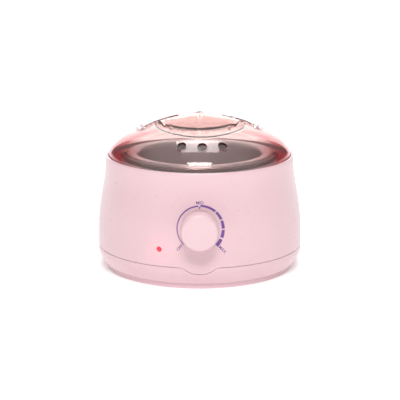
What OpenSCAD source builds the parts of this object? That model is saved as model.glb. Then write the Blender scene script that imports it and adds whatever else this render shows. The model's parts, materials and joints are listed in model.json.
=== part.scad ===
// Salon wax warmer: a round two-part housing with a heated bowl, a lift-out
// wax pot with a wire bail, a clear domed lid and a front temperature dial.
// The origin is on the housing's axis at the table. +Z is up, the dial faces -Y.

/* [Housing] */
// Largest diameter of the housing, at the seam
body_d = 180; // [150:1:220]
// Height of the housing's lip above the table
lip_z = 100; // [82:1:120]
// How much narrower the housing is at its neck than at the seam, in radius
neck_in = 7.1; // [3:0.1:12]
// Wall of the moulded housing
wall = 2.5; // [2:0.1:3.5]
// Height of the seam between the upper housing and the base
seam_z = 20; // [18:0.5:26]
// Height of the foot band under the base
foot_h = 5; // [4:0.5:7]
// How far the foot band lies inside the widest diameter, in radius
foot_in = 7.6; // [6:0.1:12]
// Half width of the wave that the seam makes at the front
wave_w = 17; // [12:0.5:24]
// Depth of that wave
wave_h = 5.4; // [2:0.1:7]
// Depth of the ledge that the lid and the pot sit on, below the lip
ledge_drop = 2.8; // [2:0.1:5]

/* [Pot and bowl] */
// Radial room between the widest diameter and the inside of the wax pot
side_room = 35.8; // [33:0.1:42]
// Height of the heated bowl's underside above the table
bowl_z = 36; // [34:1:44]
// Sheet thickness of the heated bowl
bowl_t = 1.2; // [0.8:0.1:2]
// Sheet thickness of the wax pot
pot_t = 1; // [0.6:0.1:1.5]
// Radial gap between the pot and the bowl
pot_gap = 1.8; // [1:0.1:3]
// Width of the pot's rolled rim
rim_w = 10.3; // [8:0.1:12]
// Height of the pot's rim above the ledge
rim_h = 5.1; // [4:0.1:6]
// Diameter of the bail wire
bail_d = 2.4; // [2:0.1:3.2]

/* [Lid] */
// Rise of the dome above the lip
dome_h = 34.8; // [28:0.2:42]
// Wall of the lid
lid_t = 2; // [1.5:0.1:3]
// Half width of the grip ridge at its narrow middle
ridge_w = 3.5; // [3:0.1:6]
// How far the ridge stands proud of the dome
ridge_up = 1.7; // [0.8:0.1:3]
// Radius at which the ridge ends
ridge_r = 54.5; // [45:0.5:60]
// Plan radius of the ridge's hollow sides
ridge_bow = 98; // [80:1:140]
// Depth of the finger hollows below the ridge's top
grip_depth = 15.8; // [12:0.1:18]
// Half width of a finger hollow's floor
grip_w = 31; // [24:0.5:36]
// Diameter of the steam vents
vent_d = 7.6; // [4:0.1:9]
// Distance of the steam vents from the lid's axis
vent_r = 64.2; // [60:0.1:68]
// Angle between neighbouring steam vents
vent_step = 15.6; // [12:0.1:20]
// Turn of the lid about its axis
lid_turn = 2; // [-10:1:10]

/* [Dial] */
// Height of the dial's axis above the table
dial_z = 53.7; // [46:0.1:60]
// Diameter of the knob
knob_d = 31; // [24:0.5:38]
// Depth of the knob
knob_l = 13.2; // [10:0.1:18]
// Diameter of the thermostat's spindle
spindle_d = 6; // [5:0.1:7]
// Height of the indicator above the table
lamp_z = 35; // [30:0.5:38]
// Angle of the indicator round from the front
lamp_angle = -22.3; // [-40:0.1:-18]
// Diameter of the indicator's lens
lens_d = 4.7; // [3:0.1:6]

/* [Cord entry] */
// Diameter of the bore that the mains cord comes through
cord_d = 7; // [5:0.1:8]
// Height of the cord entry above the table
cord_z = 12; // [11.5:0.1:13]

/* [Fasteners] */
// Shank diameter of the self-tapping screws
screw_d = 3; // [2.5:0.1:3.5]
// Diameter of the screw bosses
boss_d = 8; // [7:0.5:10]
// Diameter of the rubber feet
foot_d = 14; // [10:0.5:16]

/* [Clearances] */
// Radial clearance of a turning fit
run_fit = 0.05; // [0.02:0.01:0.1]
// Gap between loose pieces that rest on each other
rest_gap = 0.3; // [0.2:0.05:0.5]
// Clearance round fixed pieces
slip = 0.1; // [0.05:0.05:0.2]
// Gap between the lid's rim and the lip
lid_gap = 0.4; // [0.3:0.1:1]

/* [Hidden] */
$fn = 96;
// A length that takes a cut clear through a face
over = 1;

pink = [0.96, 0.84, 0.86];
rose_clear = [0.85, 0.32, 0.32, 0.45];
aluminium = [0.80, 0.80, 0.81];
steel = [0.62, 0.63, 0.65];
brass = [0.80, 0.66, 0.34];
white_ceramic = [0.93, 0.91, 0.86];
dark_rubber = [0.16, 0.16, 0.17];
white_plastic = [0.90, 0.90, 0.88];
mica = [0.75, 0.66, 0.46];
fibre = [0.88, 0.87, 0.80];

// ---- Housing outline -------------------------------------------------------
body_r = body_d / 2;
neck_r = body_r - neck_in;
neck_z = lip_z - 5;
foot_r = body_r - foot_in;
// Where the base starts to tuck in under the seam, and how far it has gone
// in by the top of the foot band
tuck_z = seam_z - 3.2;
tuck_in = 5.8;
lip_round = 1.8;
ledge_z = lip_z - ledge_drop;
lip_in_r = neck_r - wall;
seam_gap = 0.4;

// Radius of the upper housing at height z: an S curve from seam to neck
function side_r(z) =
    let (u = max(0, min(1, (z - seam_z) / (neck_z - seam_z))))
    body_r - neck_in * (1 - cos(180 * pow(u, 1.47))) / 2;

// Radius of the base at height z: straight, then tucking in to the foot band
function base_r(z) =
    body_r - 0.1 - tuck_in * pow(max(0, (tuck_z - z) / (tuck_z - foot_h)), 1.63);

// Points up the outside from z0 to z1, moved inwards by t
function side_line(z0, z1, t, n = 24) =
    [for (i = [0 : n]) let (z = z0 + (z1 - z0) * i / n) [side_r(z) - t, z]];
function base_line(z0, z1, t, n = 12) =
    [for (i = [0 : n]) let (z = z0 + (z1 - z0) * i / n) [base_r(z) - t, z]];
function arc(cx, cz, r, a0, a1, n = 8) =
    [for (i = [0 : n]) let (a = a0 + (a1 - a0) * i / n) [cx + r * cos(a), cz + r * sin(a)]];
function reversed(list) = [for (i = [len(list) - 1 : -1 : 0]) list[i]];

// ---- Pot and bowl ----------------------------------------------------------
pot_in_r = body_r - side_room;
pot_out_r = pot_in_r + pot_t;
bowl_in_r = pot_out_r + pot_gap;
bowl_out_r = bowl_in_r + bowl_t;
pot_z = bowl_z + bowl_t + 0.8;
rim_r = pot_in_r + rim_w;
rim_z = ledge_z + rim_h;
hem_z = ledge_z + rest_gap;
flange_r = rim_r + 2.5;
opening_r = flange_r + rest_gap;
shelf_w = 4.5;
shelf_z = ledge_z - bowl_t;
corner_r = 6;

// ---- Posts and screws ------------------------------------------------------
boss_r = bowl_out_r + 16.3;
boss_z = foot_h + 3.9;
screw_hole = screw_d + 2 * run_fit;
head_d = 2.2 * screw_d;
head_h = 2.2;
foot_t = 3;
floor_z = 3;
post_z = bowl_z - 5;
post_r = bowl_out_r + 14;
strap_t = 1.5;
strap_w = 15;
stud_d = 5;
nut_h = 4;

// ---- Thermostat, from the bracket's front face inwards ---------------------
front_y = -side_r(dial_z);
plate_t = 1.2;
plate_y = front_y + wall + 7;
plate_back = plate_y + plate_t;
plate_w = 46;
plate_h = 34;
bracket_screw_x = 17;
stack_z = dial_z - 12;
bushing_d = spindle_d + 2.4;
ceramic_d = 9;
ceramic_t = 2.2;
leaf_t = 0.5;
bimetal_t = 0.8;
leaf_w = 7;
leaf_1 = plate_back + ceramic_t;
leaf_2 = leaf_1 + leaf_t + ceramic_t;
bimetal_y = leaf_2 + leaf_t + ceramic_t;
stack_end = bimetal_y + bimetal_t;
rivet_d = 2.4;
leaf_top = dial_z + 9;
leaf_foot = stack_z - 12;

// ---- Knob and spindle ------------------------------------------------------
knob_back = -side_r(dial_z - knob_d / 2) - 0.6;
knob_front = knob_back - knob_l;
knob_wall = 1.8;
hub_d = spindle_d + 4;
flat_in = 1.5;
clip_t = 0.4;
ring_t = 0.8;
ring_y = plate_back + 0.5;

// ---- Indicator, measured along its own axis out from the middle ------------
lamp_out = side_r(lamp_z);
lens_seat = lamp_out - wall - 0.5;
lens_flange = lens_d + 2.3;
holder_l = 8.5;

// ---- Cord entry ------------------------------------------------------------
gland_d = cord_d + 3;
gland_flange = gland_d + 3;
gland_face = base_r(cord_z) - 1.6;
gland_flange_t = 1.8;
gland_wall = 4.5;
gland_in = gland_face - gland_flange_t - gland_wall;
gland_nut_t = 3;
clamp_y = pot_in_r + 6;
clamp_x = cord_d / 2 + 5;
block_y = clamp_y - 25;

// ---- Lid -------------------------------------------------------------------
lid_r = lip_in_r - lid_gap;
dome_z = lip_z + 0.8;
lid_rim_z = ledge_z + rest_gap;
grip_floor = dome_z + dome_h + ridge_up - grip_depth;
grip_tilt = 4.7;
grip_dish = 150;
grip_slope = 34;

// Height of the dome at distance r from the axis, for a dome of radius rr
function dome_at(r, rr, h) =
    h * pow(max(0, 1 - pow(min(1, r / rr), 1.9)), 1 / 1.7);

// Things set out in a circle
module ring_of(angles, r) {
    for (a = angles) rotate(a) translate([r, 0, 0]) children();
}
boss_angles = [45, 135, 225, 315];
post_angles = [0, 180];

// A wire along a line of points, as one closed skin with rings of n sides
module wire(points, d, n = 8) {
    last = len(points) - 1;
    unit = function (v) v / norm(v);
    heading = [for (i = [0 : last])
        unit(points[min(i + 1, last)] - points[max(i - 1, 0)])];
    across = [for (t = heading) unit(cross(t, [0.31, 0.17, 0.93]))];
    skin = [for (i = [0 : last], k = [0 : n - 1])
        points[i] + d / 2 * (cos(360 * k / n) * across[i]
                             + sin(360 * k / n) * cross(heading[i], across[i]))];
    sides = [for (i = [0 : last - 1], k = [0 : n - 1], half = [0, 1])
        let (j = (k + 1) % n, a = i * n, b = (i + 1) * n)
        half == 0 ? [a + k, b + k, b + j] : [a + k, b + j, a + j]];
    ends = [[for (k = [0 : n - 1]) k], [for (k = [n - 1 : -1 : 0]) last * n + k]];
    polyhedron(points = skin, faces = concat(sides, ends));
}

// A rod from y0 to y1 along Y at height z
module along_y(y0, y1, d, x = 0, z = 0) {
    translate([x, y0, z]) rotate([-90, 0, 0]) cylinder(h = y1 - y0, d = d);
}

// A plate that stands across Y, with square corners
module plate_y(x0, x1, y0, y1, z0, z1) {
    translate([x0, y0, z0]) cube([x1 - x0, y1 - y0, z1 - z0]);
}

// ---- Upper housing ---------------------------------------------------------
// The wave at the front of the seam, as a flat outline in X and Z
module wave_outline(gap) {
    n = 24;
    half = wave_w + gap;
    drop = wave_h + gap;
    polygon(concat(
        [[half, seam_z + over], [-half, seam_z + over]],
        [for (i = [0 : n])
            let (x = -half + 2 * half * i / n, u = pow(abs(x) / half, 1.5))
            [x, seam_z + seam_gap / 2 - drop * (1 + cos(180 * u)) / 2]]));
}

module wave_prism(gap) {
    translate([0, -body_r / 2, 0]) rotate([90, 0, 0])
        linear_extrude(height = body_r) wave_outline(gap);
}

module housing_shell() {
    z0 = seam_z + seam_gap / 2;
    outer = side_line(z0, lip_z - lip_round, 0);
    inner = side_line(z0, ledge_z - wall, wall);
    top_r = side_r(lip_z);
    rotate_extrude($fn = 180)
        polygon(concat(
            outer,
            arc(top_r - lip_round, lip_z - lip_round, lip_round, 0, 90),
            [[lip_in_r, lip_z], [lip_in_r, ledge_z], [opening_r, ledge_z],
             [opening_r, shelf_z], [opening_r - shelf_w, shelf_z],
             [opening_r - shelf_w, shelf_z - wall], [opening_r + wall, shelf_z - wall],
             [opening_r + wall, ledge_z - wall]],
            reversed(inner)));
}

// The part of the upper housing that fills the wave, flush with the base
module wave_tongue() {
    tongue_t = wall - 0.6;
    z0 = seam_z - wave_h - over;
    z1 = seam_z + seam_gap;
    intersection() {
        rotate_extrude($fn = 180)
            polygon(concat(base_line(z0, z1, 0), reversed(base_line(z0, z1, tongue_t))));
        wave_prism(0);
    }
}

module boss(z0, z1, hole_l) {
    translate([0, 0, z0]) difference() {
        cylinder(h = z1 - z0, d = boss_d);
        translate([0, 0, -over]) cylinder(h = hole_l + over, d = screw_hole);
    }
}

// A rib from a boss out into the side wall
module boss_rib(z0, z1) {
    translate([boss_d / 2 - 0.5, -1, z0])
        cube([side_r(z1) - wall / 2 - boss_r - boss_d / 2 + 0.5, 2, z1 - z0]);
}

module upper_housing() {
    lamp_boss = lens_flange + 4;
    color(pink) {
        difference() {
            union() {
                housing_shell();
                wave_tongue();
                for (x = [-1, 1] * bracket_screw_x) bracket_post(x);
                rotate(lamp_angle)
                    along_y(-lamp_out + wall / 2, -lens_seat + 6, lamp_boss, 0, lamp_z);
            }
            along_y(front_y - over, plate_y, bushing_d + 0.6, 0, dial_z);
            for (x = [-1, 1] * bracket_screw_x)
                along_y(plate_y - 5, plate_y + over, screw_hole - 0.4, x, dial_z);
            rotate(lamp_angle) {
                along_y(-lamp_out - over, -lens_seat, lens_d + 2 * slip, 0, lamp_z);
                along_y(-lens_seat, -lens_seat + 6 + over, lens_flange + 2 * slip,
                        0, lamp_z);
            }
        }
        ring_of(boss_angles, boss_r) {
            boss(boss_z, ledge_z - wall, 26);
            boss_rib(seam_z + 8, ledge_z - 2 * wall);
        }
        ring_of(post_angles, post_r) boss(post_z, ledge_z - wall, 14);
    }
}

// A short post inside the front wall that a bracket screw goes into
module bracket_post(x) {
    wall_y = -sqrt(pow(side_r(dial_z) - wall / 2, 2) - x * x);
    along_y(wall_y, plate_y, 7, x, dial_z);
}

// ---- Base ------------------------------------------------------------------
module base_shell() {
    z1 = seam_z - seam_gap / 2;
    outer = base_line(foot_h, z1, 0);
    inner = base_line(foot_h + 1, z1, wall);
    rotate_extrude($fn = 180)
        polygon(concat(
            [[foot_r - 3, 0], [foot_r - 0.6, 0], [foot_r, 0.6], [foot_r, foot_h - 0.4]],
            outer,
            reversed(inner),
            [[foot_r - 3, foot_h + 0.5], [0, foot_h + 0.5], [0, floor_z],
             [foot_r - 3, floor_z]]));
}

// The ring inside the seam that lines the two halves up
module register_ring() {
    r1 = body_r - wall - rest_gap;
    translate([0, 0, seam_z - 9]) difference() {
        cylinder(h = 13, r = r1, $fn = 180);
        translate([0, 0, -over]) cylinder(h = 13 + 2 * over, r = r1 - 1.5, $fn = 180);
    }
}

module foot_cup() {
    cylinder(h = boss_z - 0.2, d = foot_d + 5);
}

module foot_cuts() {
    translate([0, 0, -over]) cylinder(h = foot_t + over, d = foot_d + 0.4);
    translate([0, 0, foot_t - over]) cylinder(h = head_h + 0.6 + over, d = head_d + 1);
    cylinder(h = boss_z + over, d = screw_d + 0.4);
}

// Cooling slots through the floor, in two arcs of short radial slots
module floor_slots() {
    for (a = [-36 : 9 : 36], side = [0, 180])
        rotate(a + side) translate([22, -1.5, -over]) cube([26, 3, foot_h + 2 * over]);
}

// The thickened wall that the cord gland is clamped to
module gland_block() {
    intersection() {
        translate([-gland_flange / 2 - 2, gland_in, foot_h])
            cube([gland_flange + 4, 2 * wall + gland_wall + 4, seam_z - foot_h - 1]);
        rotate_extrude($fn = 180)
            polygon(concat([[0, foot_h]], base_line(foot_h, seam_z - 1, 0.3),
                           [[0, seam_z - 1]]));
    }
}

module clamp_post() {
    difference() {
        cylinder(h = cord_z - cord_d / 2, d = boss_d - 1);
        translate([0, 0, 1]) cylinder(h = cord_z, d = screw_hole - 0.4);
    }
}

module base_housing() {
    color(pink) {
        difference() {
            union() {
                base_shell();
                difference() {
                    register_ring();
                    ring_of(boss_angles, boss_r) cylinder(h = 2 * seam_z, d = boss_d + 2);
                }
                gland_block();
                intersection() {
                    ring_of(boss_angles, boss_r) foot_cup();
                    cylinder(h = 2 * seam_z, r = foot_r - 1);
                }
            }
            wave_notch();
            ring_of(boss_angles, boss_r) foot_cuts();
            floor_slots();
            along_y(gland_face - gland_flange_t, body_r + over, gland_flange + 0.4,
                    0, cord_z);
            along_y(gland_in - 9, body_r, gland_d + 2 * slip, 0, cord_z);
            for (x = [-1, 1] * clamp_x)
                translate([x, clamp_y, floor_z + 1]) cylinder(h = 9, d = screw_hole - 0.4);
        }
        for (x = [-1, 1] * clamp_x) translate([x, clamp_y, floor_z]) clamp_post();
    }
}

// Room for the tongue, cut through the wall but not the register ring
module wave_notch() {
    intersection() {
        wave_prism(seam_gap);
        difference() {
            cylinder(h = 2 * seam_z, r = body_r + over);
            translate([0, 0, -over])
                cylinder(h = 2 * seam_z + 2 * over, r = body_r - wall - rest_gap);
        }
    }
}

module self_tapper(shank_l) {
    cylinder(h = head_h, d = head_d);
    translate([0, 0, head_h - slip]) cylinder(h = shank_l + slip, d = screw_d);
}

module base_screws() {
    color(steel) ring_of(boss_angles, boss_r)
        translate([0, 0, foot_t + 0.6]) self_tapper(20);
}

module rubber_feet() {
    color(dark_rubber) ring_of(boss_angles, boss_r) {
        cylinder(h = foot_t - slip, d = foot_d);
    }
}

// ---- Heated bowl and what holds it ------------------------------------------
module heater_bowl() {
    color(aluminium) {
        rotate_extrude($fn = 180)
            polygon(concat(
                [[0, bowl_z], [bowl_out_r - corner_r, bowl_z]],
                arc(bowl_out_r - corner_r, bowl_z + corner_r, corner_r, -90, 0),
                [[bowl_out_r, shelf_z], [flange_r, shelf_z], [flange_r, ledge_z],
                 [bowl_in_r, ledge_z]],
                arc(bowl_in_r - corner_r, bowl_z + bowl_t + corner_r, corner_r, 0, -90),
                [[0, bowl_z + bowl_t]]));
        translate([0, 0, post_z - strap_t - nut_h - 2])
            cylinder(h = bowl_z - post_z + strap_t + nut_h + 2 + bowl_t / 2, d = stud_d);
    }
}

module tube_of(r0, r1, z0, z1) {
    translate([0, 0, z0]) difference() {
        cylinder(h = z1 - z0, r = r1, $fn = 180);
        translate([0, 0, -over]) cylinder(h = z1 - z0 + 2 * over, r = r0, $fn = 180);
    }
}

band_in_r = bowl_out_r + slip;
band_out_r = band_in_r + 2;
band_z0 = bowl_z + corner_r;
band_z1 = shelf_z - 16;
wrap_in_r = band_out_r + slip;
wrap_out_r = wrap_in_r + 4;

module heater_band() {
    color(mica) difference() {
        tube_of(band_in_r, band_out_r, band_z0, band_z1);
        rotate(90) translate([0, -1.5, band_z0 - over])
            cube([body_r, 3, band_z1 - band_z0 + 2 * over]);
    }
}

// The blanket round the band, with a window at the back for the band's ends
module insulation_wrap() {
    color(fibre) difference() {
        tube_of(wrap_in_r, wrap_out_r, band_z0 - 1, band_z1 + 4);
        rotate(90) translate([0, -10, band_z0 - over - 1])
            cube([body_r, 20, 14]);
    }
}

module bowl_strap() {
    color(steel) translate([0, 0, post_z - strap_t]) difference() {
        union() {
            translate([-post_r, -strap_w / 2, 0]) cube([2 * post_r, strap_w, strap_t]);
            for (x = [-1, 1] * post_r)
                translate([x, 0, 0]) cylinder(h = strap_t, d = strap_w);
        }
        translate([0, 0, -over]) cylinder(h = strap_t + 2 * over, d = stud_d + 0.6);
        for (x = [-1, 1] * post_r)
            translate([x, 0, -over]) cylinder(h = strap_t + 2 * over, d = screw_d + 0.4);
    }
}

module strap_screws() {
    color(steel) for (x = [-1, 1] * post_r)
        translate([x, 0, post_z - strap_t - head_h]) self_tapper(strap_t + 10);
}

module bowl_nut() {
    color(steel) translate([0, 0, post_z - strap_t - nut_h]) difference() {
        cylinder(h = nut_h, d = 2 * stud_d, $fn = 6);
        translate([0, 0, -over])
            cylinder(h = nut_h + 2 * over, d = stud_d + 2 * run_fit, $fn = 48);
    }
}

// ---- Thermostat --------------------------------------------------------------
module thermostat_bracket() {
    color(steel) difference() {
        plate_y(-plate_w / 2, plate_w / 2, plate_y, plate_back,
                dial_z - plate_h * 0.7, dial_z + plate_h * 0.3);
        along_y(plate_y - over, plate_back + over, bushing_d - 1.4, 0, dial_z);
        along_y(plate_y - over, plate_back + over, rivet_d + 0.2, 0, stack_z);
        for (x = [-1, 1] * bracket_screw_x)
            along_y(plate_y - over, plate_back + over, screw_d - 0.2, x, dial_z);
    }
}

module bracket_screws() {
    color(steel) for (x = [-1, 1] * bracket_screw_x)
        translate([x, plate_back + 1.8, dial_z]) rotate([90, 0, 0]) {
            cylinder(h = 1.8, d = 5.4);
            cylinder(h = 1.8 + plate_t + 4, d = screw_d - 0.4);
        }
}

module thermostat_bushing() {
    color(brass) difference() {
        union() {
            along_y(front_y + 0.6, plate_y, bushing_d, 0, dial_z);
            along_y(plate_y - slip, plate_back + 0.3, bushing_d - 1.6, 0, dial_z);
        }
        along_y(front_y - over, plate_back + over, spindle_d + 2 * run_fit, 0, dial_z);
    }
}

module ceramic_stack() {
    color(white_ceramic) {
        for (y = [plate_back, leaf_1 + leaf_t, leaf_2 + leaf_t])
            difference() {
                along_y(y, y + ceramic_t, ceramic_d, 0, stack_z);
                along_y(y - over, y + ceramic_t + over, rivet_d + 0.2, 0, stack_z);
            }
        // The push pin that carries the bimetal's bend to the rear leaf
        along_y(leaf_2 + leaf_t + slip, bimetal_y - slip, 2.4, 0, dial_z + 3);
    }
}

module stack_strip(y, t, w, z0, z1) {
    difference() {
        plate_y(-w / 2, w / 2, y, y + t, z0, z1);
        along_y(y - over, y + t + over, rivet_d + 0.2, 0, stack_z);
    }
}

module contact_leaves() {
    color(brass) {
        stack_strip(leaf_1, leaf_t, leaf_w, leaf_foot, leaf_top);
        stack_strip(leaf_2, leaf_t, leaf_w, leaf_foot, leaf_top);
        along_y(leaf_1 + leaf_t / 2, leaf_1 + leaf_t + 1, 3, 0, leaf_top - 2.5);
        along_y(leaf_2 - 1, leaf_2 + leaf_t / 2, 3, 0, leaf_top - 2.5);
    }
}

module bimetal_strip() {
    color(steel) stack_strip(bimetal_y, bimetal_t, leaf_w + 1, stack_z - 5, leaf_top);
}

module stack_rivet() {
    color(steel) {
        along_y(plate_y - 1, plate_y, 5, 0, stack_z);
        along_y(plate_y - slip, stack_end + slip, rivet_d, 0, stack_z);
        along_y(stack_end, stack_end + 1, 5, 0, stack_z);
    }
}

// Push-on receptacles over the lower ends of the leaves, side by side
module crimp_terminals() {
    h = 7;
    color([0.75, 0.12, 0.12]) for (y = [leaf_1, leaf_2]) difference() {
        translate([-leaf_w / 2 - 0.8, y - 0.7, leaf_foot - 4])
            cube([leaf_w + 1.6, leaf_t + 1.4, h]);
        translate([-leaf_w / 2 - slip, y - slip, leaf_foot - slip])
            cube([leaf_w + 2 * slip, leaf_t + 2 * slip, h]);
    }
}

// ---- Knob and spindle --------------------------------------------------------
module thermostat_spindle() {
    tip = leaf_1 - rest_gap;
    color(steel) difference() {
        union() {
            along_y(knob_front + knob_wall + 1, ring_y + ring_t + 0.4, spindle_d, 0, dial_z);
            along_y(ring_y + ring_t, tip, 3, 0, dial_z);
        }
        // Flat for the knob
        translate([-spindle_d, knob_front - over, dial_z + spindle_d / 2 - flat_in])
            cube([2 * spindle_d, knob_l + over, spindle_d]);
        // Groove for the retaining ring
        difference() {
            along_y(ring_y - slip, ring_y + ring_t + slip, spindle_d + 2, 0, dial_z);
            along_y(ring_y - over, ring_y + ring_t + over, spindle_d - 1.2, 0, dial_z);
        }
    }
}

module spindle_ring() {
    color(steel) difference() {
        along_y(ring_y, ring_y + ring_t, spindle_d + 3, 0, dial_z);
        along_y(ring_y - over, ring_y + ring_t + over, spindle_d - 1.1, 0, dial_z);
        translate([-(spindle_d - 1.2) / 2 + 0.4, ring_y - over, dial_z])
            cube([spindle_d - 2, ring_t + 2 * over, spindle_d]);
    }
}

module knob() {
    edge = 2.2;
    r = knob_d / 2;
    color(pink) translate([0, knob_back, dial_z]) rotate([90, 0, 0]) difference() {
        union() {
            rotate_extrude()
                polygon(concat(
                    [[r + 0.4, 0], [r, knob_l - edge]],
                    arc(r - edge, knob_l - edge, edge, 0, 90),
                    [[0, knob_l], [0, knob_l - knob_wall],
                     [r - knob_wall - edge / 2, knob_l - knob_wall],
                     [r - knob_wall, knob_l - knob_wall - edge / 2],
                     [r - knob_wall + 0.2, 0]]));
            translate([0, 0, 0.4]) cylinder(h = knob_l - knob_wall, d = hub_d);
        }
        // Bore for the spindle, with its flat and the clip's room
        difference() {
            translate([0, 0, -over])
                cylinder(h = knob_l - knob_wall + over - 0.4, d = spindle_d + 2 * slip);
            translate([-spindle_d, spindle_d / 2 - flat_in + clip_t + 2 * slip, -2 * over])
                cube([2 * spindle_d, spindle_d, knob_l + 2 * over]);
        }
    }
}

module knob_clip() {
    clip_l = knob_l - knob_wall - 3;
    color(steel)
        translate([-1.6, knob_back - 1 - clip_l, dial_z + spindle_d / 2 - flat_in + slip])
            cube([3.2, clip_l, clip_t]);
}

// ---- Indicator ---------------------------------------------------------------
module indicator_lens() {
    color([0.9, 0.1, 0.15]) rotate(lamp_angle) {
        along_y(-lens_seat + slip, -lens_seat + 0.9, lens_flange, 0, lamp_z);
        along_y(-lamp_out, -lens_seat + 0.5, lens_d, 0, lamp_z);
        translate([0, -lamp_out, lamp_z]) intersection() {
            translate([0, lens_d / 2, 0]) sphere(d = 1.42 * lens_d, $fn = 48);
            along_y(-lens_d, 0.1, lens_d);
        }
    }
}

module indicator_holder() {
    front = -lens_seat + 1;
    color(dark_rubber) rotate(lamp_angle) difference() {
        union() {
            along_y(front, front + holder_l, lens_flange, 0, lamp_z);
            along_y(-lens_seat + 6 + slip, front + holder_l, lens_flange + 4, 0, lamp_z);
        }
        along_y(front - over, front + holder_l + over, lens_d + 0.2, 0, lamp_z);
    }
}

module indicator_lamp() {
    front = -lens_seat + 1.2;
    bulb_d = lens_d - 0.2;
    color([1, 0.75, 0.7]) rotate(lamp_angle) {
        along_y(front + bulb_d / 2, front + holder_l + 1, bulb_d, 0, lamp_z);
        translate([0, front + bulb_d / 2, lamp_z]) sphere(d = bulb_d, $fn = 48);
    }
}

// ---- Cord entry and terminal block --------------------------------------------
module cord_gland() {
    color(dark_rubber) difference() {
        union() {
            along_y(gland_face - gland_flange_t, gland_face, gland_flange, 0, cord_z);
            along_y(gland_in - gland_nut_t - 1, gland_face - over, gland_d, 0, cord_z);
        }
        along_y(gland_in - 3 * gland_nut_t, gland_face + over, cord_d, 0, cord_z);
    }
}

module gland_nut() {
    color(dark_rubber) difference() {
        translate([0, gland_in - gland_nut_t, cord_z]) rotate([-90, 0, 0])
            cylinder(h = gland_nut_t, d = gland_d + 4.5, $fn = 6);
        along_y(gland_in - 2 * gland_nut_t, gland_in + over, gland_d + 2 * run_fit,
                0, cord_z);
    }
}

module cord_clamp() {
    h = 5;
    color(white_plastic) difference() {
        translate([-clamp_x - 4, clamp_y - 4, cord_z]) cube([2 * clamp_x + 8, 8, h]);
        along_y(clamp_y - 5, clamp_y + 5, cord_d + 0.4, 0, cord_z);
        for (x = [-1, 1] * clamp_x)
            translate([x, clamp_y, 0]) cylinder(h = 2 * cord_z, d = screw_d + 0.4);
    }
}

module clamp_screws() {
    color(steel) for (x = [-1, 1] * clamp_x)
        translate([x, clamp_y, cord_z + 5 + head_h]) mirror([0, 0, 1]) {
            cylinder(h = head_h, d = head_d);
            cylinder(h = cord_z + 5 + head_h - floor_z - 2, d = screw_d - 0.4);
        }
}

block_w = 27;
block_d = 12;
block_h = 11;
block_z = foot_h + 0.5;
pole_x = [-8, 0, 8];

module terminal_block() {
    color(white_plastic) difference() {
        translate([-block_w / 2, block_y - block_d / 2, block_z])
            cube([block_w, block_d, block_h]);
        for (x = pole_x) {
            along_y(block_y - block_d, block_y + block_d, 3, x, block_z + 4.5);
            translate([x, block_y, block_z + 4.5]) cylinder(h = block_h, d = 4);
        }
    }
}

module terminal_screws() {
    color(brass) for (x = pole_x)
        translate([x, block_y, block_z + 6.5]) difference() {
            cylinder(h = 3.5, d = 3.6);
            translate([-2, -0.4, 2.7]) cube([4, 0.8, 2]);
        }
}

// ---- Thermal fuse --------------------------------------------------------------
fuse_d = 4;
fuse_y = strap_w / 2 + 12;
fuse_z = bowl_z - fuse_d / 2 - slip;

module thermal_fuse() {
    color(steel) translate([-6, fuse_y, fuse_z]) rotate([0, 90, 0])
        cylinder(h = 12, d = fuse_d);
}

module fuse_clip() {
    t = 0.6;
    w = fuse_d + 2 * slip;
    color(steel) translate([-3, fuse_y, bowl_z]) difference() {
        union() {
            translate([0, -w / 2 - t, -w - t]) cube([6, w + 2 * t, w + t]);
            translate([0, -w / 2 - 5, -t]) cube([6, w + 10, t]);
        }
        translate([-over, -w / 2, -w]) cube([6 + 2 * over, w, w + over]);
    }
}

// ---- Wiring, along points chosen by hand ----------------------------------------
wire_d = 2;
crimp_z = leaf_foot - 4 - slip;
band_end_y = wrap_out_r - 2;

module live_wire() {
    color([0.5, 0.3, 0.2]) wire([
        [pole_x[0], block_y - 4, block_z + 4.5], [pole_x[0], block_y - 14, block_z + 4.5],
        [-16, 0, 12], [-14, leaf_1 + 30, 12], [-2, leaf_1 + 10, 14],
        [-1, leaf_1 + leaf_t / 2, crimp_z - 5], [-1, leaf_1 + leaf_t / 2, crimp_z]], wire_d);
}

module link_wire() {
    color([0.85, 0.85, 0.85]) wire([
        [2, leaf_2 + leaf_t / 2, crimp_z], [2, leaf_2 + leaf_t / 2 + 1, crimp_z - 5],
        [6, leaf_2 + 14, 20], [20, -32, 20], [24, 0, 20], [20, fuse_y + 4, 24],
        [12, fuse_y, fuse_z], [6 + slip, fuse_y, fuse_z]], wire_d);
}

module neutral_wire() {
    color([0.2, 0.35, 0.7]) wire([
        [pole_x[2], block_y + 4, block_z + 4.5], [pole_x[2], block_y + 10, block_z + 5],
        [6, band_end_y - 10, bowl_z - 10], [4, band_end_y - 1, band_z0 - 4],
        [4, band_end_y, band_z0 + 6]], wire_d);
}

module lamp_wires() {
    back = -lens_seat + holder_l + 2 + slip + wire_d / 2;
    color([0.2, 0.2, 0.2]) for (x = [-1, 1])
        wire([
            [back * sin(-lamp_angle) + x, back * cos(lamp_angle), lamp_z],
            [back * sin(-lamp_angle) + x, back * cos(lamp_angle) + 5, lamp_z - 12],
            [-24 + x, -40, 14], [-22 + x, -8, 14]], 1.4);
}

// ---- Wax pot, ears and bail -------------------------------------------------------
roll_r = 2.6;
ear_t = 2;
ear_w = 5;
ear_edge = 0.9;
ear_r = rim_r + ear_t;
bail_r = rim_r + slip + rest_gap + bail_d / 2;
bail_z = hem_z + ear_edge + bail_d / 2 + run_fit;
bail_out = ear_r + rest_gap + bail_d / 2;
bail_bend = 11;

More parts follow.
